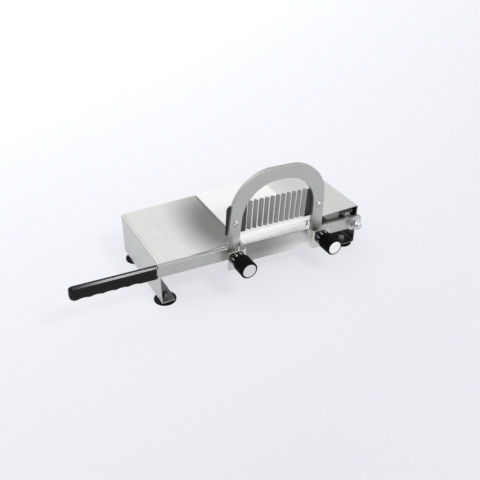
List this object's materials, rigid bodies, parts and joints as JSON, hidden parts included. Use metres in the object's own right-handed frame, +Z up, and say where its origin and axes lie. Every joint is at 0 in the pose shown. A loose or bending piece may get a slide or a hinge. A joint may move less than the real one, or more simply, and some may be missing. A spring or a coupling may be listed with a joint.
{
  "type": "french fry cutter",
  "caption": "Bench-top potato slicer: a hinged steel arm with an arch carries a waved blade down onto a cutting board, with a knob-adjusted thickness plate.",
  "frame": {"origin": "on the table, below the middle of the whole cutter", "axes": "+X along the bench from the handle towards the pivot, +Y from the knobs towards the back, +Z up"},
  "size_m": [0.4714, 0.202, 0.1841],
  "materials": {
    "bench_steel": "satin stainless sheet, brushed front to back",
    "arm_steel": "satin stainless plate, fine brushing along the bar",
    "guard_steel": "smooth bright stainless strip",
    "blade_steel": "ground blade steel with bright ridges",
    "bracket_steel": "satin steel plate",
    "hardware_steel": "bright turned steel",
    "polished_nut": "polished plating",
    "board_plastic": "white cutting board plastic, fine matt",
    "handle_plastic": "black moulded plastic, satin",
    "knob_plastic": "black moulded plastic",
    "scale_plastic": "smooth black plastic with a white scale",
    "cap_plastic": "pale plastic disc",
    "foot_rubber": "black rubber",
    "sleeve_brass": "turned brass"
  },
  "bodies": {
    "base": {"bench": "bench_steel", "cutting_board": "board_plastic", "board_screws": "hardware_steel", "pivot_bracket": "bracket_steel", "bracket_cleat": "bracket_steel", "bracket_bolt": "hardware_steel", "bracket_nut": "hardware_steel", "bracket_side_screws": "hardware_steel", "bracket_side_nuts": "hardware_steel", "pivot_pin": "hardware_steel", "pivot_spacer": "hardware_steel", "pivot_washer": "polished_nut", "acorn_nut": "polished_nut", "foot_studs": "hardware_steel", "foot_nuts": "hardware_steel", "foot_front_left": "foot_rubber", "foot_front_right": "foot_rubber", "foot_rear_left": "foot_rubber", "foot_rear_right": "foot_rubber"},
    "arm": {"arm_frame": "arm_steel", "pivot_bush": "sleeve_brass", "handle_grip": "handle_plastic", "wave_blade": "blade_steel", "blade_screws": "hardware_steel", "blade_nuts": "hardware_steel", "left_stud": "hardware_steel", "right_stud": "hardware_steel"},
    "guard": {"thickness_plate": "guard_steel"},
    "left_knob": {"left_knob_sleeve": "sleeve_brass", "left_retaining_ring": "hardware_steel", "left_scale_ring": "scale_plastic", "left_knob_grip": "knob_plastic", "left_knob_cap": "cap_plastic"},
    "right_knob": {"right_knob_sleeve": "sleeve_brass", "right_retaining_ring": "hardware_steel", "right_scale_ring": "scale_plastic", "right_knob_grip": "knob_plastic", "right_knob_cap": "cap_plastic"}
  },
  "joints": [
    {"name": "arm_lift", "type": "hinge", "parent": "base", "child": "arm", "pos_m": [0.22023, -0.05045, 0.0496], "axis": [0, 1, 0], "range_deg": [-3.3, 66.7]},
    {"name": "guard_slide", "type": "slide", "parent": "arm", "child": "guard", "axis": [0, -1, 0], "range_m": [0, 0.008]},
    {"name": "left_knob_turn", "type": "hinge", "parent": "guard", "child": "left_knob", "pos_m": [0.00404, -0.06545, 0.06106], "axis": [0, -1, 0], "range_deg": [0, 2304]},
    {"name": "right_knob_turn", "type": "hinge", "parent": "guard", "child": "right_knob", "pos_m": [0.15019, -0.06545, 0.05264], "axis": [0, -1, 0], "range_deg": [0, 2304]}
  ],
  "couplings": [
    {"joint": "left_knob_turn", "follows": "guard_slide", "rad_per_m": 5026.5},
    {"joint": "right_knob_turn", "follows": "guard_slide", "rad_per_m": 5026.5}
  ]
}
